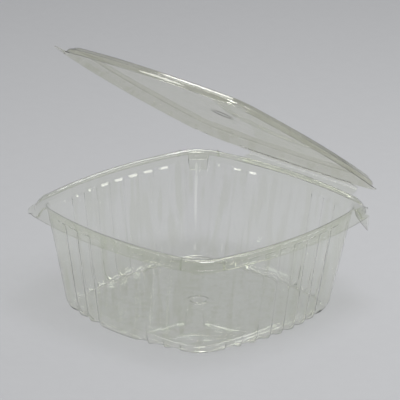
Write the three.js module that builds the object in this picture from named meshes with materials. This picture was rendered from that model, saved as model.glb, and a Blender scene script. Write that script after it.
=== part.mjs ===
import * as THREE from 'three';

// Clear hinged deli container, lid standing open. Millimetres, +Z up, hinge along the back (+Y) side.

// Sheet and plan
const SHEET = 0.6;
const DEPTH_RATIO = 1.03;
const FRAME_SHIFT_Y = -3.4;
const CORNER_STEPS = 8;
const RING_STEPS = 24;
const PLAIN_STATIONS = [-0.56, -0.53, -0.27, 0, 0.27, 0.53, 0.56];

// Shares of a quarter of the loop parameter that a side and a corner take up
const SIDE_RUN = 0.7;
const CORNER_RUN = 0.3;

// Hinge fold and lid opening
const HINGE_Y = 110.0;
const HINGE_Z = 75.8;
const OPEN_DEG = 33.0;
const LEAF_HALF_LENGTH = 54.5;
const TUB_LEAF_REACH = 109.5;
const TUB_LEAF_Z = 75.15;
const LID_LEAF_REACH = 109.8;
const LID_LEAF_Z = 76.15;

// Upright flutes of the walls, as shares of the half width
const FLUTE_FACE = 0.040;
const FLUTE_FOOT = 0.072;
const FLUTES_ON_SIDES = [-0.5355, -0.3825, -0.2295, -0.0765, 0.0765, 0.2295, 0.3825, 0.5355];
const FLUTES_AT_HINGE = [-0.642, -0.497, -0.352, 0.352, 0.497, 0.642];
const FLUTES_IN_FRONT = [-0.597, -0.44, -0.283, 0.283, 0.44, 0.597];
const PLAIN_PANEL = [-0.13, 0.0, 0.13];
const FLUTE_DEPTH = 1.0;

// Tub, food side of the sheet, from the middle of the floor to the edge of the flange.
// Each row: half width, corner reach, corner radius, height, share of the flute depth.
const FLOOR_TOP = 3.6;
const TUB_RING_MARK = [
  [5.4, 0.0], [6.2, 0.5], [7.6, 0.5], [8.4, 0.0],
];
const TUB_FLOOR = [
  [69.2, 60.7, 14.0, 3.6],
  [71.4, 62.3, 15.5, 0.6],
];
const TUB_WALL = [
  [77.6, 63.3, 18.0, 0.6, 2.4],
  [80.2, 64.9, 19.5, 1.9, 3.2],
  [81.5, 65.9, 20.0, 5.4, 2.0],
  [82.8, 67.4, 20.3, 16.0, 1.0],
  [88.65, 74.35, 21.9, 64.4, 1.0],
  [89.25, 75.05, 22.0, 69.4, 1.6],
  [89.45, 75.2, 22.0, 71.1, 0.0],
];
const TUB_RIM = [
  [90.0, 75.6, 23.0, 75.6],
  [91.1, 76.6, 24.0, 77.7],
  [92.8, 78.2, 25.0, 78.4],
  [94.8, 80.0, 27.0, 78.4],
  [96.2, 81.2, 28.0, 77.2],
  [96.6, 81.6, 28.0, 75.5],
  [97.3, 82.2, 28.5, 75.0],
  [97.7, 82.5, 29.0, 73.0],
  [98.3, 83.0, 29.0, 72.5],
];
const TUB_EDGE = [100.1, 84.6, 27.0, 72.2];
const TUB_EARS = {
  front: { reach: 1.2, rise: -0.6 },
  back: { reach: -0.4, rise: -13.0 },
};

// Ears: how many corner steps either side of the middle they take, and for a drooping ear how far
// its far skin stands in and up, in sheet thicknesses
const EAR_STEPS = 1;
const DROOP_INSET = 0.75;
const DROOP_LIFT = 0.45;

// Lid, upper side of the sheet in the closed position, from the middle of the panel outward
const LID_TOP = 81.4;
const LID_RING_MARK = [
  [6.0, 0.0], [6.8, 0.4], [8.2, 0.4], [9.0, 0.0],
];
const LID_ROWS = [
  [84.0, 72.4, 15.0, 81.4],
  [89.4, 77.0, 17.0, 81.6],
  [90.8, 78.1, 18.0, 82.4],
  [92.6, 79.4, 19.0, 82.2],
  [94.9, 81.0, 20.0, 80.4],
  [96.4, 82.1, 20.5, 79.8],
  [97.4, 82.9, 21.0, 78.8],
  [97.8, 83.2, 21.5, 76.4],
];
const LID_EDGE = [99.3, 84.5, 22.0, 76.0];
const LID_EARS = {
  front: { reach: 7.4, rise: 1.2 },
  back: { reach: 1.4, rise: 0.3 },
};

// Clear plastic with a slight olive-grey cast
function clearSheet() {
  return new THREE.MeshStandardMaterial({
    color: 0xd9dbd2,
    roughness: 0.08,
    metalness: 0.0,
    transparent: true,
    opacity: 0.35,
    side: THREE.DoubleSide,
  });
}

// A bowed square: four side arcs tangent to four corner arcs.
function bowedSquare(half, corner, radius) {
  const k = corner - radius * Math.SQRT1_2;
  const bend = (radius ** 2 - k ** 2 - (k - half) ** 2) / (2 * (k - half) + 2 * radius);
  const middle = half - bend;
  const sweep = Math.atan2(k, k - middle);
  return { k, bend, middle, sweep, half, radius };
}

// Stations along one side, each with its share of the flute depth.
function plainStations() {
  return PLAIN_STATIONS.map((q) => ({ q, deep: 0 }));
}

function fluteStations(centres) {
  const list = [];
  for (const c of centres) {
    list.push({ q: c - FLUTE_FOOT, deep: 0 });
    list.push({ q: c - FLUTE_FACE, deep: 1 });
    list.push({ q: c + FLUTE_FACE, deep: 1 });
    list.push({ q: c + FLUTE_FOOT, deep: 0 });
  }
  return list;
}

function flutedStations(side) {
  if (side % 2 === 1) {
    return fluteStations(FLUTES_ON_SIDES);
  }
  const plain = PLAIN_PANEL.map((q) => ({ q, deep: 0 }));
  const flutes = fluteStations(side === 0 ? FLUTES_AT_HINGE : FLUTES_IN_FRONT);
  return [...plain, ...flutes].sort((a, b) => a.q - b.q);
}

// One corner of the loop is a run of points on its arc; ear is 1 on the tongue at its middle.
function cornerPoints(shape, side) {
  const list = [];
  for (let j = 1; j < CORNER_STEPS; j += 1) {
    const t = j / CORNER_STEPS;
    const a = shape.sweep + t * (Math.PI / 2 - 2 * shape.sweep);
    const x = shape.k + shape.radius * Math.sin(a);
    const y = shape.k + shape.radius * Math.cos(a);
    const ear = Math.abs(j - CORNER_STEPS / 2) <= EAR_STEPS ? 1 : 0;
    const w = side + 1 - CORNER_RUN / 2 + CORNER_RUN * t;
    list.push({ x, y, nx: Math.sin(a), ny: Math.cos(a), w, deep: 0, ear });
  }
  return list;
}

function sidePoints(shape, side, stations) {
  const end = shape.bend * Math.sin(shape.sweep);
  const inner = stations.map((s) => ({ x: s.q * shape.half, deep: s.deep }));
  const all = [{ x: -end, deep: 0 }, ...inner, { x: end, deep: 0 }];
  return all.map((p) => {
    const a = Math.asin(p.x / shape.bend);
    const y = shape.middle + shape.bend * Math.cos(a);
    const w = side + 0.5 + (SIDE_RUN / 2) * (p.x / end);
    return { x: p.x, y, nx: Math.sin(a), ny: Math.cos(a), w, deep: p.deep, ear: 0 };
  });
}

// Turns a point of the back side by quarter turns so it falls on side 0 to 3.
function quarterTurn(p, side) {
  let { x, y, nx, ny } = p;
  for (let i = 0; i < side; i += 1) {
    [x, y] = [y, -x];
    [nx, ny] = [ny, -nx];
  }
  return { ...p, x, y, nx, ny, side };
}

// A closed loop of points on one level; flute is the inward depth of the flutes there.
function bowedLoop(row, fluted) {
  const [half, corner, radius, z, share = 0] = row;
  const shape = bowedSquare(half, corner, radius);
  const loop = [];
  for (let side = 0; side < 4; side += 1) {
    const stations = fluted ? flutedStations(side) : plainStations();
    const run = [...sidePoints(shape, side, stations), ...cornerPoints(shape, side)];
    for (const p of run) {
      const q = quarterTurn(p, side);
      const inward = FLUTE_DEPTH * share * p.deep;
      loop.push({ ...q, x: q.x - q.nx * inward, y: (q.y - q.ny * inward) * DEPTH_RATIO, z });
    }
  }
  return loop;
}

function roundLoop(radius, z) {
  const loop = [];
  for (let i = 0; i < RING_STEPS; i += 1) {
    const w = CORNER_RUN / 2 + (4 * i) / RING_STEPS;
    const a = ((w - 0.5) * Math.PI) / 2;
    loop.push({ x: radius * Math.sin(a), y: radius * Math.cos(a), z, w });
  }
  return loop;
}

// The far skin of the sheet: every row of the profile moved by one sheet thickness.
function farSide(rows) {
  return rows.map((row, i) => {
    const before = rows[Math.max(i - 1, 0)];
    const after = rows[Math.min(i + 1, rows.length - 1)];
    const n1 = i === 0 ? faceDirection(row, after) : faceDirection(before, row);
    const n2 = i === rows.length - 1 ? n1 : faceDirection(row, after);
    const scale = SHEET / (1 + n1[0] * n2[0] + n1[1] * n2[1]);
    const out = (n1[0] + n2[0]) * scale;
    const up = (n1[1] + n2[1]) * scale;
    return movedRow(row, out, up);
  });
}

function faceDirection(a, b) {
  const dx = b[0] - a[0];
  const dz = b[3] - a[3];
  const length = Math.hypot(dx, dz);
  return [dz / length, -dx / length];
}

function movedRow(row, out, up) {
  const moved = [...row];
  moved[0] += out;
  moved[1] += out * Math.SQRT1_2;
  moved[2] += out;
  moved[3] += up;
  return moved;
}

// The flange edge runs out to the hinge fold along the middle of the back, and to an ear at each corner.
function shapedEdge(row, leafReach, leafZ, ears, under) {
  const loop = bowedLoop(row, false);
  for (const p of loop) {
    const onLeaf = p.side === 0 && p.ear === 0 && Math.abs(p.x) < LEAF_HALF_LENGTH;
    if (onLeaf) {
      p.y = leafReach;
      p.z = leafZ - (under ? SHEET : 0);
    }
    if (p.ear === 1) {
      const ear = p.y > 0 ? ears.back : ears.front;
      const droops = under && Math.abs(ear.rise) > Math.abs(ear.reach);
      const inset = droops ? SHEET * DROOP_INSET : 0;
      const lift = droops ? SHEET * DROOP_LIFT : 0;
      p.x += Math.sign(p.x) * (ear.reach * Math.SQRT1_2 - inset);
      p.y += Math.sign(p.y) * (ear.reach * Math.SQRT1_2 - inset);
      p.z += ear.rise + lift;
    }
  }
  return loop;
}

// Joins two loops by a band of triangles, walking both by their shared parameter w.
function joinLoops(mesh, a, b) {
  let i = 0;
  let j = 0;
  while (i < a.count || j < b.count) {
    const nextA = i + 1 < a.count ? a.w[i + 1] : a.w[0] + 4 + (i + 1 - a.count);
    const nextB = j + 1 < b.count ? b.w[j + 1] : b.w[0] + 4 + (j + 1 - b.count);
    const stepA = j >= b.count || (i < a.count && nextA <= nextB);
    const ai = a.start + (i % a.count);
    const bj = b.start + (j % b.count);
    if (stepA) {
      mesh.index.push(ai, bj, a.start + ((i + 1) % a.count));
      i += 1;
    } else {
      mesh.index.push(ai, bj, b.start + ((j + 1) % b.count));
      j += 1;
    }
  }
}

function addLoop(mesh, loop) {
  const start = mesh.points.length / 3;
  for (const p of loop) {
    mesh.points.push(p.x, p.y, p.z);
  }
  return { start, count: loop.length, w: loop.map((p) => p.w) };
}

function closeWithFan(mesh, placed, z, flip) {
  const centre = mesh.points.length / 3;
  mesh.points.push(0, 0, z);
  for (let i = 0; i < placed.count; i += 1) {
    const a = placed.start + i;
    const b = placed.start + ((i + 1) % placed.count);
    mesh.index.push(...(flip ? [centre, b, a] : [centre, a, b]));
  }
}

// One thin shell: the near skin out from the middle, over the edge, and back along the far skin.
function shell(nearLoops, farLoops) {
  const mesh = { points: [], index: [] };
  const chain = [...nearLoops, ...farLoops.slice().reverse()];
  const placed = chain.map((loop) => addLoop(mesh, loop));
  for (let i = 0; i + 1 < placed.length; i += 1) {
    joinLoops(mesh, placed[i], placed[i + 1]);
  }
  closeWithFan(mesh, placed[0], nearLoops[0][0].z, false);
  closeWithFan(mesh, placed[placed.length - 1], farLoops[0][0].z, true);
  return mesh;
}

function signedVolume(mesh) {
  const v = (i) => new THREE.Vector3().fromArray(mesh.points, 3 * i);
  let sum = 0;
  for (let t = 0; t < mesh.index.length; t += 3) {
    const a = v(mesh.index[t]);
    const b = v(mesh.index[t + 1]);
    const c = v(mesh.index[t + 2]);
    sum += a.dot(b.cross(c)) / 6;
  }
  return sum;
}

function toGeometry(mesh) {
  if (signedVolume(mesh) < 0) {
    for (let t = 0; t < mesh.index.length; t += 3) {
      const keep = mesh.index[t + 1];
      mesh.index[t + 1] = mesh.index[t + 2];
      mesh.index[t + 2] = keep;
    }
  }
  const geometry = new THREE.BufferGeometry();
  geometry.setAttribute('position', new THREE.Float32BufferAttribute(mesh.points, 3));
  geometry.setIndex(mesh.index);
  geometry.computeVertexNormals();
  return geometry;
}

// The raised ring mark in the middle of a floor or lid panel, as profile rows.
function ringRows(mark, level) {
  return mark.map(([radius, rise]) => [radius, radius, radius, level + rise]);
}

// The tub: marked floor panel on a foot, fluted walls, rolled rim, skirt, flange with ears and hinge leaf.
function tubGeometry() {
  const marks = ringRows(TUB_RING_MARK, FLOOR_TOP);
  const rows = [...marks, ...TUB_FLOOR, ...TUB_WALL, ...TUB_RIM, TUB_EDGE];
  const farRows = farSide(rows);
  const last = rows.length - 1;
  const near = rows.map((row, i) => tubLoop(row, i, marks.length));
  const far = farRows.map((row, i) => tubLoop(row, i, marks.length));
  near[last] = shapedEdge(rows[last], TUB_LEAF_REACH, TUB_LEAF_Z, TUB_EARS, false);
  far[last] = shapedEdge(farRows[last], TUB_LEAF_REACH, TUB_LEAF_Z, TUB_EARS, true);
  return toGeometry(shell(near, far));
}

function tubLoop(row, i, markCount) {
  if (i < markCount) {
    return roundLoop(row[0], row[3]);
  }
  const firstWall = markCount + TUB_FLOOR.length;
  const fluted = i >= firstWall && i < firstWall + TUB_WALL.length;
  return bowedLoop(row, fluted);
}

// The lid: flat panel, low stepped wall, flange with opening tabs in front and the hinge leaf behind.
function lidGeometry() {
  const marks = ringRows(LID_RING_MARK, LID_TOP);
  const rows = [...marks, ...LID_ROWS, LID_EDGE];
  const farRows = farSide(rows);
  const last = rows.length - 1;
  const loopFor = (row, i) => (i < marks.length ? roundLoop(row[0], row[3]) : bowedLoop(row, false));
  const near = rows.map(loopFor);
  const far = farRows.map(loopFor);
  near[last] = shapedEdge(rows[last], LID_LEAF_REACH, LID_LEAF_Z, LID_EARS, false);
  far[last] = shapedEdge(farRows[last], LID_LEAF_REACH, LID_LEAF_Z, LID_EARS, true);
  return toGeometry(shell(near, far));
}

// Swings the closed lid up about the fold line to the angle it stands open at.
function openLid(geometry) {
  geometry.translate(0, -HINGE_Y, -HINGE_Z);
  geometry.rotateX((-OPEN_DEG * Math.PI) / 180);
  geometry.translate(0, HINGE_Y, HINGE_Z);
  return geometry;
}

function named(name, geometry) {
  geometry.translate(0, FRAME_SHIFT_Y, 0);
  const mesh = new THREE.Mesh(geometry, clearSheet());
  mesh.name = name;
  return mesh;
}

function container() {
  const group = new THREE.Group();
  group.name = 'deli_container';
  group.add(named('tub', tubGeometry()));
  group.add(named('lid', openLid(lidGeometry())));
  return group;
}

const group = container();
export default group;
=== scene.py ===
"""Looks of an empty clear deli container with its lid standing open on a living hinge.

The tub, the lid and the hinge web are thin sheets worked out from named profile rows. Lengths in the
rows are millimetres from the middle of the tub, and become metres in the shared frame in each mesh.
"""

import math

import bpy
import numpy as np
from mathutils import Matrix, Vector


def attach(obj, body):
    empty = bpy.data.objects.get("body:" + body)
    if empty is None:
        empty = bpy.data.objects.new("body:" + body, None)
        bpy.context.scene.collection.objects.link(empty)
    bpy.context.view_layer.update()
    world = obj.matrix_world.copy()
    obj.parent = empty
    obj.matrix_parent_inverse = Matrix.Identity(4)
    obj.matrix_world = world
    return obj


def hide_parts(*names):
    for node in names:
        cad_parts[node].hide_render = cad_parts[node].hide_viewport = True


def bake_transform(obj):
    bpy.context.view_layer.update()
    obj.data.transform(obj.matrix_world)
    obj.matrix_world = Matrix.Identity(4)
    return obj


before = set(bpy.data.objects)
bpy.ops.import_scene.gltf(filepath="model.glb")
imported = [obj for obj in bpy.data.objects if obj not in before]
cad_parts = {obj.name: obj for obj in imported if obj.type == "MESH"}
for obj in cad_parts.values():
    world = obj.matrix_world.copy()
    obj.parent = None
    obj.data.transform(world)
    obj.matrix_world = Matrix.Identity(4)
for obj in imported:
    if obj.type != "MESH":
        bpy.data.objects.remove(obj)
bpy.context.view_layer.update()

MM = 0.001
FRAME_SHIFT_Y = -3.4
DEPTH_RATIO = 1.03

# The moulded sheet lies inside the thickness that the model's solids have
SKIN_INSET = 0.05
SHEET = 0.5
SHARP_DEG = 50

# Fold of the hinge, how far the lid stands open, and the leaf on either side of the fold
HINGE_Y = 110.0
HINGE_Z = 75.8
OPEN_DEG = 33.0
FOLD_Y = (HINGE_Y + FRAME_SHIFT_Y) * MM
FOLD = Vector((0.0, FOLD_Y, HINGE_Z * MM))
LEAF_FULL = 53.1
LEAF_END = 56.0
LEAF_ROWS = 4
LEAF_THINNING = 0.7

# Web across the fold: ends of its section, its bulge, half its thickness, and its loops and steps
WEB_FROM = (109.0, 74.9)
WEB_TO = (109.55, 76.2)
WEB_BULGE = 0.35
WEB_HALF = 0.12
WEB_LOOPS = 60
WEB_STEPS = 13

# Flutes of the walls, as shares of the half width: wall face, foot of the slope, centres by side
FLUTE_FACE = 0.040
FLUTE_FOOT = 0.072
FLUTE_DEPTH = 1.0
SIDE_FLUTES = (-0.5355, -0.3825, -0.2295, -0.0765, 0.0765, 0.2295, 0.3825, 0.5355)
HINGE_FLUTES = (-0.642, -0.497, -0.352, 0.352, 0.497, 0.642)
FRONT_FLUTES = (-0.597, -0.44, -0.283, 0.283, 0.44, 0.597)
INNER_SHARE = 0.716

# Extra stations along the plain middle of the hinge side and the front, and round each corner
PLAIN_END = 0.19
PLAIN_STATIONS = 9
HINGE_EXTRA = (-0.25, 0.25)
CORNER_STATIONS = 16
EAR_EDGE = (0.26, 0.27, 0.28, 0.29, 0.30)

# Ears of the corners: half their share of the turn, and the slope of their sides
EAR_HALF = 0.24
EAR_SLOPE = 0.04

# How far corners of a profile are eased, curve steps, and the longest run without a row in between
EDGE_EASE = 1.4
FOOT_EASE = 0.5
SHOULDER_EASE = 0.35
RING_EASE = 0.4
TUB_STEPS = 4
LID_STEPS = 5
RING_STEPS = 5
LONG_RUN = 9.0
RING_RUN = 1.0

# Middle panel: radius of the first loop, flat run beside the ring, loops inside and outside the ring
FIRST_LOOP = 1.2
FLAT_RUN = 0.4
INSIDE_LOOPS = 3
OUTSIDE_LOOPS = 4

# Profile rows: half width, corner reach, corner radius, height, share of the flute depth
TUB_RING = (
    (5.4, 5.4, 5.4, 3.6, 0.0),
    (6.2, 6.2, 6.2, 4.1, 0.0),
    (7.6, 7.6, 7.6, 4.1, 0.0),
    (8.4, 8.4, 8.4, 3.6, 0.0),
)
TUB_ROWS = (
    (68.6, 60.1, 14.0, 3.6, 0.0),
    (69.2, 60.7, 14.0, 3.6, 0.0),
    (71.4, 62.3, 15.5, 0.6, 0.0),
    (77.6, 63.3, 18.0, 0.6, 2.4),
    (80.2, 64.9, 19.5, 1.9, 3.2),
    (81.5, 65.9, 20.0, 5.4, 2.0),
    (82.8, 67.4, 20.3, 16.0, 1.0),
    (88.65, 74.35, 21.9, 64.4, 1.0),
    (89.25, 75.05, 22.0, 69.4, 1.6),
    (89.45, 75.2, 22.0, 71.1, 0.0),
    (90.0, 75.6, 23.0, 75.6, 0.0),
    (91.1, 76.6, 24.0, 77.7, 0.0),
    (92.8, 78.2, 25.0, 78.4, 0.0),
    (94.8, 80.0, 27.0, 78.4, 0.0),
    (96.2, 81.2, 28.0, 77.2, 0.0),
    (96.6, 81.6, 28.0, 75.5, 0.0),
    (97.3, 82.2, 28.5, 75.0, 0.0),
    (97.7, 82.5, 29.0, 73.0, 0.0),
    (98.3, 83.0, 29.0, 72.5, 0.0),
    (100.1, 84.6, 27.0, 72.2, 0.0),
)
FOOT_ROWS = slice(2, 5)
SHOULDER_ROWS = slice(7, 9)

LID_RING = (
    (6.0, 6.0, 6.0, 81.4, 0.0),
    (6.8, 6.8, 6.8, 81.62, 0.0),
    (8.2, 8.2, 8.2, 81.62, 0.0),
    (9.0, 9.0, 9.0, 81.4, 0.0),
)
LID_ROWS = (
    (83.3, 71.7, 15.0, 81.4, 0.0),
    (84.0, 72.4, 15.0, 81.4, 0.0),
    (89.4, 77.0, 17.0, 81.6, 0.0),
    (90.8, 78.1, 18.0, 82.4, 0.0),
    (92.6, 79.4, 19.0, 82.2, 0.0),
    (94.9, 81.0, 20.0, 80.4, 0.0),
    (96.4, 82.1, 20.5, 79.8, 0.0),
    (97.4, 82.9, 21.0, 78.8, 0.0),
    (97.8, 83.2, 21.5, 76.4, 0.0),
    (99.3, 84.5, 22.0, 76.0, 0.0),
)

# Where the leaf ends: depth and height. Ears: reach past the corner and rise, front and back
TUB_LEAF = (109.5, 75.15)
LID_LEAF = (109.8, 76.15)
TUB_EARS = ((1.2, -0.6), (0.0, 0.0))
LID_EARS = ((7.4, 1.2), (1.4, 0.3))

# The tub's back ears fold down from under the rim: corner reach and height, and their rows
BACK_EAR_ROOT = (77.4, 71.0)
BACK_EAR_TIP = (83.5, 60.2)
BACK_EAR_ROWS = 5

# Patterns in the plastic and the paper: scale, detail and roughness of the noise
RIPPLES = (28.0, 2.0, 0.45)
SCUFFS = (260.0, 3.0, 0.6)
CLOUDS = (24.0, 3.0, 0.55)
DRAW_MARKS = (150.0, 1.0, 0.5)
DRAW_STRETCH = (1.0, 1.0, 0.05)
MOTTLE = (90.0, 4.0, 0.6)

# Where each pattern fades in: none, full and, where it is not 1, how much full is
CLOUD_FADE = (0.35, 0.75, 0.7)
DRAW_FADE = (0.44, 0.62)
SCUFF_FADE = (0.5, 0.75)
LEAF_FADE = (0.0985, 0.1005)
RIM_FADE = (0.0705, 0.0720)
RIM_CLOUD = 0.75
SIDE_FADE = (6.2e-3, 4.2e-3)
EAR_FADE = (6.7e-3, 7.1e-3)
SQUARE_FADE = (1.15, 1.0)
SQUARE_POWER = 4.66
LEAST_ROUGH = 0.02

# Clear plastic: weight of the edge tint, coat, and the film that lamps and bounced light pass
SLANT = 0.16
COAT_INDEX = 1.5
COAT_ROUGH = 0.03
FILM = (0.953, 0.954, 0.948, 1.0)

# Each piece's tint where thin and thick, bending index, share of light let through, and marks
TUB_FINISH = {
    "thin": (0.985, 0.988, 0.972, 1.0),
    "thick": (0.924, 0.936, 0.882, 1.0),
    "index": 1.08,
    "through": 1.0,
    "marks": {"Ripple": 0.22, "Scuff": 0.10, "Gloss": 1.0, "Rubbed": 0.8},
}
LID_FINISH = {
    "thin": (0.955, 0.957, 0.922, 1.0),
    "thick": (0.80, 0.805, 0.71, 1.0),
    "index": 1.05,
    "through": 1.0,
    "marks": {"Ripple": 0.10, "Scuff": 0.08, "Gloss": 0.9, "Middle": 0.0845, "Dulled": 0.7},
}
WEB_FINISH = {
    "thin": (0.985, 0.987, 0.975, 1.0),
    "thick": (0.94, 0.945, 0.92, 1.0),
    "index": 1.08,
    "through": 0.92,
    "marks": {"Ripple": 0.10, "Scuff": 0.14, "Gloss": 0.6},
}

# Sweep paper: its two greys, its dullness, and the radii and columns of the floor
PAPER_DARK = (0.318, 0.320, 0.328, 1.0)
PAPER_LIGHT = (0.332, 0.334, 0.342, 1.0)
PAPER_ROUGH = 0.9
PAPER_SHINE = 0.1
FLOOR_RADII = (0.6, 1.5, 4.0, 14.0)
FLOOR_COLUMNS = 96

# Soft lights: name, place, aim, width, height, watts, and turn about the lamp's own axis in degrees
LAMPS = (
    ("overhead_box", (0.2, 0.08, 1.5), (0.2, 0.08, 0.0), 0.54, 0.54, 25.4, 0.0),
    ("rear_box", (0.81, 1.22, 1.4), (0.0, 0.0, 0.08), 0.7, 0.7, 7.0, 0.0),
    ("rear_left_box", (-0.97, 1.31, 1.32), (0.0, 0.0, 0.15), 0.8, 0.2, 3.4, -41.0),
    ("near_left_box", (-0.91, -0.58, 1.49), (0.0, 0.0, 0.08), 0.36, 0.36, 2.6, 0.0),
    ("left_box", (-1.25, -1.4, 0.62), (0.0, 0.0, 0.1), 0.5, 0.4, 0.9, 0.0),
    ("front_box", (2.4, -1.62, 0.4), (0.0, 0.0, 0.1), 0.5, 0.5, 0.8, 0.0),
)
ROOM_GREY = (0.62, 0.63, 0.64, 1.0)
ROOM_LIGHT = 0.56

# Camera: turn, rise and roll in degrees, aim, distance, sensor, and focal length in sensor widths
VIEW_ANGLES = (43.02, 20.32, 1.3)
VIEW_AIM = (5.87, -6.75 + FRAME_SHIFT_Y, 83.48)
VIEW_DISTANCE = 2.44885
SENSOR = 36.0
FOCAL_WIDTHS = 8.62815
CLIP = (0.1, 60.0)

# How many times light may bounce, and how many films it may pass
BOUNCES = 24
FILMS = 48


def ease(t):
    """Smooth step: 3t squared minus 2t cubed of t held between 0 and 1."""
    t = np.clip(t, 0.0, 1.0)
    return t * t * (3.0 - 2.0 * t)


def eased_profile(rows, reach, steps, gap):
    """Rows joined by straight runs, with each corner turned into a quadratic curve.

    The curve leaves the runs at most `reach` before and after the corner, and never past the middle of a
    run. Runs longer than `gap` get rows in between. `reach` is one length, or one for each inner row.
    """
    p = np.asarray(rows, float)
    run = np.diff(p, axis=0)
    length = np.hypot(run[:, 0], run[:, 3])
    reach = np.broadcast_to(reach, (len(p) - 2,))
    before = np.minimum(0.5, reach / length[:-1])[:, None]
    after = np.minimum(0.5, reach / length[1:])[:, None]
    t = np.linspace(0.0, 1.0, steps)[None, :, None]
    corner = p[1:-1, None, :]
    start = corner - (run[:-1] * before)[:, None, :]
    end = corner + (run[1:] * after)[:, None, :]
    arcs = (1 - t) ** 2 * start + 2 * t * (1 - t) * corner + t**2 * end
    path = np.vstack([p[:1], arcs.reshape(-1, p.shape[1]), p[-1:]])
    step = np.hypot(*np.diff(path[:, [0, 3]], axis=0).T)
    path = path[np.concatenate([[True], step > 1e-3])]
    step = np.hypot(*np.diff(path[:, [0, 3]], axis=0).T)
    at = np.concatenate([[0.0], np.cumsum(step)])
    parts = np.maximum(1, np.ceil(step / gap)).astype(int)
    share = np.concatenate([np.arange(n) / n for n in parts])
    fine = np.append(np.repeat(at[:-1], parts) + share * np.repeat(step, parts), at[-1])
    return np.stack([np.interp(fine, at, column) for column in path.T], axis=1)


def fluted_columns(centres, plain):
    """Stations along one side, -2 to 2, with `plain` as extra ones.

    Within 1 they follow the face and the slopes of each flute, and beyond it they run to the corner.
    """
    slope = np.linspace(FLUTE_FACE, FLUTE_FOOT, 4)
    around = np.concatenate([-slope[::-1], [-0.5 * FLUTE_FACE, 0.0, 0.5 * FLUTE_FACE], slope])
    q = np.concatenate([c + around for c in centres] + [np.asarray(plain, float)])
    q = np.sort(q) / INNER_SHARE
    tail = np.linspace(1.0, 2.0, 4)
    return np.concatenate([-tail[::-1], q[np.abs(q) < 0.999], tail])


def columns():
    """Every column of a loop: the side it is on, its station along it, and its share of the corner."""
    plain = np.linspace(-PLAIN_END, PLAIN_END, PLAIN_STATIONS)
    hinge = fluted_columns(HINGE_FLUTES, np.append(plain, HINGE_EXTRA))
    walls = fluted_columns(SIDE_FLUTES, [])
    front = fluted_columns(FRONT_FLUTES, plain)
    sides = [hinge, walls, front, walls]
    even = np.linspace(0.0, 1.0, CORNER_STATIONS)[1:-1]
    corner = np.unique(np.concatenate([even, EAR_EDGE, 1.0 - np.array(EAR_EDGE)]))
    side = np.concatenate([np.full(s.size + corner.size, i) for i, s in enumerate(sides)])
    along = np.concatenate([np.concatenate([s, np.full(corner.size, 2.0)]) for s in sides])
    turn = np.concatenate([np.concatenate([np.zeros(s.size), corner]) for s in sides])
    return side, along, turn


SIDE, ALONG, TURN = columns()
ON_CORNER = TURN > 0.0
EAR = ease((EAR_HALF - np.abs(TURN - 0.5)) / EAR_SLOPE)


def bowed_loops(rows):
    """Loops of a bowed square: four side arcs tangent to four corner arcs, one loop a row.

    With k the corner arc's centre and b the side arc's radius, a side point at x lies at angle
    asin(x / b) on the side arc, and a corner point at an even share of the angle between two side arcs.
    The flutes push the side points in along the arc's normal. Sides follow each other by quarter turns.
    """
    half, reach, radius, height, share = (column[:, None] for column in np.asarray(rows, float).T)
    k = reach - radius * math.sqrt(0.5)
    bend = (radius**2 - k**2 - (k - half) ** 2) / (2 * (k - half) + 2 * radius)
    sweep = np.arctan2(k, k - half + bend)
    end = bend * np.sin(sweep)
    inner = np.clip(ALONG, -1.0, 1.0) * INNER_SHARE * half
    outer = (np.abs(ALONG) - 1.0).clip(0.0) * (end - INNER_SHARE * half) * np.sign(ALONG)
    x = inner + outer
    on_side = np.arcsin(np.clip(x / bend, -1, 1))
    angle = np.where(ON_CORNER, sweep + TURN * (math.pi / 2 - 2 * sweep), on_side)
    r = np.where(ON_CORNER, radius, bend)
    px = np.where(ON_CORNER, k, 0.0) + r * np.sin(angle)
    py = np.where(ON_CORNER, k, half - bend) + r * np.cos(angle)
    inward = FLUTE_DEPTH * share * flute_depth(x / half)
    px = px - inward * np.sin(angle)
    py = py - inward * np.cos(angle)
    cos, sin = np.cos(SIDE * math.pi / 2), np.sin(SIDE * math.pi / 2)
    loop_x = px * cos + py * sin
    loop_y = (py * cos - px * sin) * DEPTH_RATIO
    return np.stack([loop_x, loop_y, np.broadcast_to(height, px.shape)], axis=-1)


def flute_depth(q):
    """Depth of the flutes, 0 to 1, at share q of the half width: eased slopes beside a flat face."""
    centres = (HINGE_FLUTES, SIDE_FLUTES, FRONT_FLUTES)
    nearest = [np.min(np.abs(q[..., None] - np.array(f)), axis=-1) for f in centres]
    gap = np.choose(np.array([0, 1, 2, 1])[SIDE][None, :], nearest)
    deep = ease((FLUTE_FOOT - gap) / (FLUTE_FOOT - FLUTE_FACE))
    return np.where(ON_CORNER[None, :] | (np.abs(ALONG)[None, :] > 1.0), 0.0, deep)


def panel_loops(ring, rows):
    """The middle panel: round loops of the ring mark, then even steps out to the first bowed loop.

    Short flat runs beside the ring keep the panel's shading level up to it.
    """
    ring = eased_profile(ring, RING_EASE, RING_STEPS, RING_RUN)
    first = bowed_loops(rows[:1])[0]
    outward = first[:, :2] / np.hypot(*first[:, :2].T)[:, None]
    inner = np.linspace(FIRST_LOOP, ring[0, 0] - FLAT_RUN, INSIDE_LOOPS)
    radius = np.concatenate([inner, ring[:, 0], ring[-1:, 0] + FLAT_RUN])
    height = np.concatenate([np.full(inner.size, ring[0, 3]), ring[:, 3], ring[-1:, 3]])
    flat = np.broadcast_to(height[:, None, None], (height.size, first.shape[0], 1))
    round_loops = np.concatenate([radius[:, None, None] * outward[None], flat], axis=-1)
    share = np.linspace(0.0, 1.0, OUTSIDE_LOOPS + 2)[1:-1, None, None]
    between = (1 - share) * round_loops[-1:] + share * first[None]
    return np.concatenate([round_loops, between])


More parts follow.
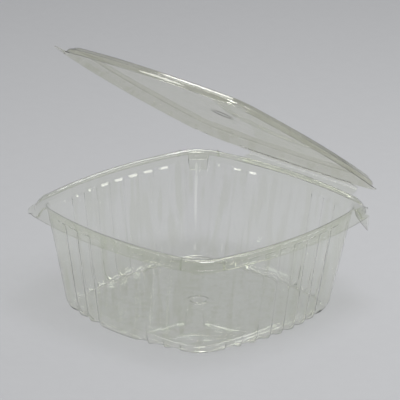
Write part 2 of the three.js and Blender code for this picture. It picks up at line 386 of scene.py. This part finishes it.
def leaf_share(x):
    """1 on the hinge leaf, 0 off it, eased between its two half lengths."""
    on_leaf = ease((LEAF_END - np.abs(x)) / (LEAF_END - LEAF_FULL))
    return np.where((SIDE == 0) & ~ON_CORNER, on_leaf, 0.0)


def shaped_edge(loops, leaf, ears):
    """The last rows run out to the hinge leaf at the middle of the back and to an ear at each corner."""
    out = loops.copy()
    share = np.linspace(0.0, 1.0, LEAF_ROWS)[:, None]
    edge = out[-LEAF_ROWS:]
    x, y = out[-1, :, 0], out[-1, :, 1]
    on_leaf = leaf_share(x)
    edge[..., 1] += share * on_leaf * (leaf[0] - y)
    edge[..., 2] += share * on_leaf * (leaf[1] - out[-1, :, 2])
    front, back = ears
    reach = np.where(y > 0, back[0], front[0])
    rise = np.where(y > 0, back[1], front[1])
    edge[..., 0] += share * EAR * np.sign(x) * reach * math.sqrt(0.5)
    edge[..., 1] += share * EAR * np.sign(y) * reach * math.sqrt(0.5)
    edge[..., 2] += share * EAR * rise
    return out


def folded_ears(loops):
    """The last rows at the back corners become a flap that slopes out and down from under the rim.

    Along the flap the corner reach and the height run evenly from the root to the tip.
    """
    out = loops.copy()
    t = np.linspace(0.0, 1.0, BACK_EAR_ROWS)[:, None]
    reach = BACK_EAR_ROOT[0] + t * (BACK_EAR_TIP[0] - BACK_EAR_ROOT[0])
    height = BACK_EAR_ROOT[1] + t * (BACK_EAR_TIP[1] - BACK_EAR_ROOT[1])
    edge = out[-BACK_EAR_ROWS:]
    blend = np.where(edge[..., 1] > 0, EAR, 0.0)
    diagonal = 0.5 * (np.abs(edge[..., 0]) + np.abs(edge[..., 1]) / DEPTH_RATIO)
    pull = blend * (reach - diagonal)
    edge[..., 0] += np.sign(edge[..., 0]) * pull
    edge[..., 1] += np.sign(edge[..., 1]) * pull * DEPTH_RATIO
    edge[..., 2] += blend * (height - edge[..., 2])
    return out


def grid_normals(grid):
    """Unit normals of a grid of loops: the cross product of its two steps, upwards at the middle."""
    across = np.gradient(grid, axis=0)
    along = np.roll(grid, -1, axis=1) - np.roll(grid, 1, axis=1)
    n = np.cross(across, along)
    n /= np.linalg.norm(n, axis=-1, keepdims=True) + 1e-12
    return n if n[0, :, 2].mean() > 0 else -n


def loop_quads(rows, cols):
    """Faces between closed loops of points that follow each other, four corners each."""
    i = np.arange(rows - 1)[:, None] * cols
    j = np.arange(cols)[None, :]
    k = (j + 1) % cols
    return np.stack([i + j, i + cols + j, i + cols + k, i + k], axis=-1).reshape(-1, 4)


def loop_fan(middle, first, cols):
    """Faces from one middle point to a closed loop of points that starts at `first`."""
    j = np.arange(cols)
    k = (j + 1) % cols
    return np.stack([np.full(cols, middle), first + j, first + k], axis=-1)


def sheet_mesh(name, skin):
    """A closed thin sheet: the skin out to its edge, a middle line, and the skin one thickness lower.

    The skin's middle faces up, and the thickness goes down. On the hinge leaf the thickness falls off
    evenly over the last rows.
    """
    n = grid_normals(skin)
    near = skin - SKIN_INSET * n
    thick = np.full(skin.shape[:2], SHEET)
    share = np.linspace(0.0, 1.0, LEAF_ROWS)[:, None]
    thick[-LEAF_ROWS:] *= 1.0 - LEAF_THINNING * share * leaf_share(skin[-1, :, 0])
    far = near - thick[..., None] * n
    edge = 0.5 * (near[-1:] + far[-1:])
    chain = np.concatenate([near, edge, far[::-1]])
    rows, cols = chain.shape[:2]
    middle = np.array([[0.0, 0.0, near[0, 0, 2]], [0.0, 0.0, far[0, 0, 2]]])
    points = np.concatenate([chain.reshape(-1, 3), middle])
    top = loop_fan(rows * cols, 0, cols)
    bottom = loop_fan(rows * cols + 1, (rows - 1) * cols, cols)[:, [0, 2, 1]]
    return placed_mesh(name, points, loop_quads(rows, cols), np.concatenate([top, bottom]))


def placed_mesh(name, points, quads, triangles):
    """Puts arrays of points and faces into a mesh, in metres, with its faces turned outwards."""
    corners = np.concatenate([quads.ravel(), triangles.ravel()])
    sizes = np.concatenate([np.full(len(quads), 4), np.full(len(triangles), 3)])
    starts = np.concatenate([[0], np.cumsum(sizes)[:-1]])
    placed = (points + [0.0, FRAME_SHIFT_Y, 0.0]) * MM
    mesh = bpy.data.meshes.new(name)
    mesh.vertices.add(len(points))
    mesh.vertices.foreach_set("co", placed.astype(np.float32).ravel())
    mesh.loops.add(len(corners))
    mesh.loops.foreach_set("vertex_index", corners.astype(np.int32))
    mesh.polygons.add(len(sizes))
    mesh.polygons.foreach_set("loop_start", starts.astype(np.int32))
    mesh.update(calc_edges=True)
    mesh.validate()
    if volume(points, quads, triangles) < 0:
        mesh.flip_normals()
    mesh.shade_smooth()
    mesh.set_sharp_from_angle(angle=math.radians(SHARP_DEG))
    piece = bpy.data.objects.new(name, mesh)
    bpy.context.scene.collection.objects.link(piece)
    return piece


def volume(points, quads, triangles):
    """Signed volume inside the faces: a sixth of the sum of the triple products of their triangles."""
    faces = np.concatenate([quads[:, [0, 1, 2]], quads[:, [0, 2, 3]], triangles])
    a, b, c = (points[faces[:, i]] for i in range(3))
    return np.einsum("ij,ij->i", a, np.cross(b, c)).sum() / 6


def tub_shell():
    """Tub: ring mark, raised floor panel, fluted walls, shoulders, rolled rim, skirt, leaf and ears."""
    reach = np.full(len(TUB_ROWS) - 2, EDGE_EASE)
    reach[FOOT_ROWS] = FOOT_EASE
    reach[SHOULDER_ROWS] = SHOULDER_EASE
    rows = eased_profile(TUB_ROWS, reach, TUB_STEPS, LONG_RUN)
    skin = np.concatenate([panel_loops(TUB_RING, rows), bowed_loops(rows)])
    skin = shaped_edge(skin, TUB_LEAF, TUB_EARS)
    return sheet_mesh("tub_shell", folded_ears(skin))


def lid_shell():
    """Lid: flat panel with its ring mark, raised bead, low stepped wall, flange, tabs and leaf.

    It is made shut and then turned up about the fold.
    """
    rows = eased_profile(LID_ROWS, EDGE_EASE, LID_STEPS, LONG_RUN)
    skin = np.concatenate([panel_loops(LID_RING, rows), bowed_loops(rows)])
    piece = sheet_mesh("lid_shell", shaped_edge(skin, LID_LEAF, LID_EARS))
    turn = Matrix.Rotation(-math.radians(OPEN_DEG), 4, "X")
    piece.data.transform(Matrix.Translation(FOLD) @ turn @ Matrix.Translation(-FOLD))
    return piece


def hinge_web():
    """The creased web: a thin strip whose section runs from the tub's leaf to the lid's leaf.

    The section is a straight line that bulges outwards by half a sine wave, thickened along its normal.
    """
    x = np.linspace(-LEAF_FULL, LEAF_FULL, WEB_LOOPS)
    t = np.linspace(0.0, 1.0, WEB_STEPS)
    y = WEB_FROM[0] + t * (WEB_TO[0] - WEB_FROM[0]) + WEB_BULGE * np.sin(math.pi * t)
    z = WEB_FROM[1] + t * (WEB_TO[1] - WEB_FROM[1])
    line = np.stack([y, z])
    normal = np.stack([np.gradient(z), -np.gradient(y)])
    offset = WEB_HALF * normal / np.hypot(*normal)
    section = np.concatenate([line + offset, (line - offset)[:, ::-1]], axis=1).T
    count = len(section)
    points = np.empty((x.size, count, 3))
    points[..., 0] = x[:, None]
    points[..., 1:] = section
    a = np.arange(t.size - 1)
    cap = np.stack([a, a + 1, count - 2 - a, count - 1 - a], axis=-1)
    last = (x.size - 1) * count
    around = loop_quads(x.size, count)[:, [0, 3, 2, 1]]
    quads = np.concatenate([around, cap[:, ::-1], cap + last])
    return placed_mesh("hinge_web", points.reshape(-1, 3), quads, np.empty((0, 3), int))


def new_node(tree, kind, **settings):
    """A new node with numbers or colours set on its sockets, named with _ for each space."""
    made = tree.nodes.new(kind)
    for socket, value in settings.items():
        made.inputs[socket.replace("_", " ")].default_value = value
    return made


def maths(tree, operation, a, b):
    """One arithmetic step on a socket and a socket or a number; returns its value."""
    step = tree.nodes.new("ShaderNodeMath")
    step.operation = operation
    tree.links.new(a, step.inputs[0])
    if isinstance(b, float):
        step.inputs[1].default_value = b
    else:
        tree.links.new(b, step.inputs[1])
    return step.outputs[0]


def over(tree, value, low, high, full=1.0):
    """0 where the value is short of `low`, `full` where it is past `high`, even in between."""
    ramp = new_node(tree, "ShaderNodeMapRange", From_Min=low, From_Max=high, To_Max=full)
    tree.links.new(value, ramp.inputs["Value"])
    return ramp.outputs["Result"]


def noise(tree, vector, scale, detail, roughness):
    """Noise texture of this scale and detail on the given coordinates; returns its value."""
    node = new_node(tree, "ShaderNodeTexNoise", Scale=scale, Detail=detail, Roughness=roughness)
    tree.links.new(vector, node.inputs["Vector"])
    return node.outputs["Fac"]


def tinted(tree, share, plain, full):
    """Colour that goes from `plain` to `full` with the share."""
    tint = tree.nodes.new("ShaderNodeMix")
    tint.data_type = "RGBA"
    tint.inputs["A"].default_value = plain
    tint.inputs["B"].default_value = full
    tree.links.new(share, tint.inputs["Factor"])
    return tint.outputs["Result"]


def moulding_group():
    """Node group of the sheet's unevenness, in coordinates of the shut container.

    Height has slow ripples from forming and Roughness has faint scuffs. Cloud says where the sheet is
    thicker, and Gloss where it still shines.
    """
    group = bpy.data.node_groups.new("sheet_unevenness", "ShaderNodeTree")
    group.interface.new_socket("Vector", in_out="INPUT", socket_type="NodeSocketVector")
    for name in ("Ripple", "Scuff", "Gloss", "Rubbed", "Middle", "Dulled"):
        group.interface.new_socket(name, in_out="INPUT", socket_type="NodeSocketFloat")
    for name in ("Height", "Roughness", "Cloud", "Gloss"):
        group.interface.new_socket(name, in_out="OUTPUT", socket_type="NodeSocketFloat")
    given = group.nodes.new("NodeGroupInput").outputs
    result = group.nodes.new("NodeGroupOutput").inputs
    split = group.nodes.new("ShaderNodeSeparateXYZ")
    group.links.new(given["Vector"], split.inputs["Vector"])
    place = split.outputs
    high = over(group, place["Z"], *RIM_FADE)
    ripple = noise(group, given["Vector"], *RIPPLES)
    group.links.new(maths(group, "MULTIPLY", ripple, given["Ripple"]), result["Height"])
    group.links.new(scuffs(group, given), result["Roughness"])
    group.links.new(thick_places(group, given, place, high), result["Cloud"])
    group.links.new(gloss_left(group, given, place, high), result["Gloss"])
    return group


def scuffs(group, given):
    """Roughness that goes from smooth to the given amount where a fine noise is strong."""
    low, high = SCUFF_FADE
    spread = new_node(group, "ShaderNodeMapRange", From_Min=low, From_Max=high, To_Min=LEAST_ROUGH)
    group.links.new(noise(group, given["Vector"], *SCUFFS), spread.inputs["Value"])
    group.links.new(given["Scuff"], spread.inputs["To Max"])
    return spread.outputs["Result"]


def thick_places(group, given, place, high):
    """The greatest of slow clouds, upright draw marks, the hinge leaf and a share of the rim."""
    stretch = group.nodes.new("ShaderNodeVectorMath")
    stretch.operation = "MULTIPLY"
    stretch.inputs[1].default_value = DRAW_STRETCH
    group.links.new(given["Vector"], stretch.inputs[0])
    cloud = over(group, noise(group, given["Vector"], *CLOUDS), *CLOUD_FADE)
    leaf = over(group, place["Y"], *LEAF_FADE)
    rim = maths(group, "MULTIPLY", high, RIM_CLOUD)
    drawn = over(group, noise(group, stretch.outputs["Vector"], *DRAW_MARKS), *DRAW_FADE)
    for other in (leaf, rim, drawn):
        cloud = maths(group, "MAXIMUM", cloud, other)
    return cloud


def gloss_left(group, given, place, high):
    """The given gloss, less what is rubbed off the rim and the ears, and less what dulls the middle.

    Along the rim's long sides |x y| is small, and on the ears it is large.
    """
    product = maths(group, "MULTIPLY", place["X"], place["Y"])
    size = maths(group, "ABSOLUTE", product, 0.0)
    side = over(group, size, *SIDE_FADE)
    ears = over(group, size, *EAR_FADE)
    rubbed = maths(group, "MAXIMUM", maths(group, "MULTIPLY", side, high), ears)
    worn = maths(group, "MULTIPLY", rubbed, given["Rubbed"])
    shine = maths(group, "SUBTRACT", given["Gloss"], worn)
    dulled = maths(group, "MULTIPLY", middle_share(group, given, place), given["Dulled"])
    return maths(group, "SUBTRACT", shine, dulled)


def middle_share(group, given, place):
    """1 inside a rounded square about the middle, where |x / m|^p + |y / m|^p is under 1.

    m is the given half width of the middle, p is SQUARE_POWER, and y is from the tub's middle.
    """
    terms = []
    for axis, offset in (("X", 0.0), ("Y", -FRAME_SHIFT_Y * MM)):
        size = maths(group, "ABSOLUTE", maths(group, "ADD", place[axis], offset), 0.0)
        ratio = maths(group, "DIVIDE", size, given["Middle"])
        terms.append(maths(group, "POWER", ratio, SQUARE_POWER))
    return over(group, maths(group, "ADD", *terms), *SQUARE_FADE)


def clear_plastic(name, group, finish, opened):
    """Clear formed plastic: full transmission with a faint olive-grey cast, rippled and lightly scuffed.

    The unevenness is laid on the piece turned shut by `opened` degrees about the fold. Lamps and light
    scattered by the floor pass the plastic as a near-clear film, so its shadow stays as light as a thin
    sheet's.
    """
    material = bpy.data.materials.new(name)
    material.use_nodes = True
    tree = material.node_tree
    links = tree.links
    place = tree.nodes.new("ShaderNodeTexCoord")
    turn = Matrix.Rotation(math.radians(opened), 3, "X")
    shut = new_node(tree, "ShaderNodeMapping", Rotation=turn.to_euler(), Location=FOLD - turn @ FOLD)
    links.new(place.outputs["Object"], shut.inputs["Vector"])
    uneven = tree.nodes.new("ShaderNodeGroup")
    uneven.node_tree = group
    for mark, amount in finish["marks"].items():
        uneven.inputs[mark].default_value = amount
    links.new(shut.outputs["Vector"], uneven.inputs["Vector"])
    slant = new_node(tree, "ShaderNodeLayerWeight", Blend=SLANT)
    depth = maths(tree, "MAXIMUM", slant.outputs["Facing"], uneven.outputs["Cloud"])
    bump = new_node(tree, "ShaderNodeBump", Strength=1.0, Distance=MM)
    links.new(uneven.outputs["Height"], bump.inputs["Height"])
    shader = tree.nodes["Principled BSDF"]
    links.new(tinted(tree, depth, finish["thin"], finish["thick"]), shader.inputs["Base Color"])
    links.new(uneven.outputs["Roughness"], shader.inputs["Roughness"])
    links.new(uneven.outputs["Gloss"], shader.inputs["Coat Weight"])
    links.new(bump.outputs["Normal"], shader.inputs["Normal"])
    shader.inputs["IOR"].default_value = finish["index"]
    shader.inputs["Transmission Weight"].default_value = finish["through"]
    shader.inputs["Coat IOR"].default_value = COAT_INDEX
    shader.inputs["Coat Roughness"].default_value = COAT_ROUGH
    path = tree.nodes.new("ShaderNodeLightPath").outputs
    film = new_node(tree, "ShaderNodeBsdfTransparent", Color=FILM)
    mix = tree.nodes.new("ShaderNodeMixShader")
    links.new(maths(tree, "MAXIMUM", path["Is Shadow Ray"], path["Is Diffuse Ray"]), mix.inputs[0])
    links.new(shader.outputs["BSDF"], mix.inputs[1])
    links.new(film.outputs["BSDF"], mix.inputs[2])
    links.new(mix.outputs["Shader"], tree.nodes["Material Output"].inputs["Surface"])
    return material


def paper_grey():
    """Matt pale grey sweep paper with a very slight mottle."""
    material = bpy.data.materials.new("sweep_paper")
    material.use_nodes = True
    tree = material.node_tree
    shader = tree.nodes["Principled BSDF"]
    place = tree.nodes.new("ShaderNodeTexCoord")
    mottle = noise(tree, place.outputs["Object"], *MOTTLE)
    tree.links.new(tinted(tree, mottle, PAPER_DARK, PAPER_LIGHT), shader.inputs["Base Color"])
    shader.inputs["Roughness"].default_value = PAPER_ROUGH
    shader.inputs["Specular IOR Level"].default_value = PAPER_SHINE
    return material


def floor():
    """A round flat floor, wide enough to fill every view."""
    angle = np.linspace(0.0, 2 * math.pi, FLOOR_COLUMNS + 1)[:-1]
    radius = np.array(FLOOR_RADII)[:, None]
    xy = np.stack([radius * np.cos(angle), radius * np.sin(angle)], axis=-1).reshape(-1, 2)
    points = np.column_stack([np.vstack([xy, [[0.0, 0.0]]]), np.zeros(len(xy) + 1)])
    quads = loop_quads(radius.size, angle.size)
    fan = loop_fan(len(xy), 0, angle.size)
    mesh = bpy.data.meshes.new("sweep")
    mesh.from_pydata(points.tolist(), [], quads.tolist() + fan.tolist())
    mesh.materials.append(paper_grey())
    ground = bpy.data.objects.new("sweep", mesh)
    bpy.context.scene.collection.objects.link(ground)


def softbox(name, at, towards, width, height, power, turned):
    """A rectangular soft light at `at` that looks along its own -Z to `towards`, turned about that axis."""
    lamp = bpy.data.lights.new(name, "AREA")
    lamp.shape = "RECTANGLE"
    lamp.size = width
    lamp.size_y = height
    lamp.energy = power
    back = (Vector(at) - Vector(towards)).normalized()
    aimed = Matrix.Translation(Vector(at)) @ back.to_track_quat("Z", "Y").to_matrix().to_4x4()
    holder = bpy.data.objects.new(name, lamp)
    holder.matrix_world = aimed @ Matrix.Rotation(math.radians(turned), 4, "Z")
    holder.visible_camera = False
    bpy.context.scene.collection.objects.link(holder)


def lights():
    """A strong box overhead, weaker ones behind, at the left and in front, and a grey room."""
    for lamp in LAMPS:
        softbox(*lamp)
    world = bpy.data.worlds.new("grey_room")
    world.use_nodes = True
    room = world.node_tree.nodes["Background"]
    room.inputs["Color"].default_value = ROOM_GREY
    room.inputs["Strength"].default_value = ROOM_LIGHT
    bpy.context.scene.world = world


def camera():
    """A long lens at the photograph's angle: turned, raised and very slightly rolled about its axis."""
    turn, rise, roll = (math.radians(a) for a in VIEW_ANGLES)
    out = math.cos(rise)
    back = Vector((math.sin(turn) * out, -math.cos(turn) * out, math.sin(rise)))
    right = (-back).cross(Vector((0, 0, 1))).normalized()
    up = right.cross(-back)
    cos, sin = math.cos(roll), math.sin(roll)
    right, up = right * cos + up * sin, up * cos - right * sin
    lens = bpy.data.cameras.new("view")
    lens.sensor_width = SENSOR
    lens.lens = FOCAL_WIDTHS * SENSOR
    lens.clip_start, lens.clip_end = CLIP
    holder = bpy.data.objects.new("view", lens)
    place = Matrix((right, up, back)).transposed().to_4x4()
    place.translation = Vector(VIEW_AIM) * MM + back * VIEW_DISTANCE
    holder.matrix_world = place
    bpy.context.scene.collection.objects.link(holder)
    bpy.context.scene.camera = holder


def dress():
    """Builds the pieces and gives them their finish. The tub and the lid ride on their bodies in place of
    the model's parts, which are hidden, and the web keeps its place in the shared frame.
    """
    group = moulding_group()
    tub, lid, web = tub_shell(), lid_shell(), hinge_web()
    tub.data.materials.append(clear_plastic("clear_tub", group, TUB_FINISH, 0.0))
    lid.data.materials.append(clear_plastic("clear_lid", group, LID_FINISH, OPEN_DEG))
    web.data.materials.append(clear_plastic("creased_web", group, WEB_FINISH, 0.0))
    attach(tub, "tub_body")
    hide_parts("tub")
    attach(lid, "lid_body")
    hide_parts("lid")
    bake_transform(web)


def light_paths():
    """Plain colours, and enough bounces for light to pass every wall of the clear sheets."""
    scene = bpy.context.scene
    scene.view_settings.view_transform = "Standard"
    scene.cycles.max_bounces = BOUNCES
    scene.cycles.transmission_bounces = BOUNCES
    scene.cycles.transparent_max_bounces = FILMS
    scene.cycles.caustics_refractive = False
    scene.cycles.caustics_reflective = False


light_paths()
camera()
lights()
floor()
dress()
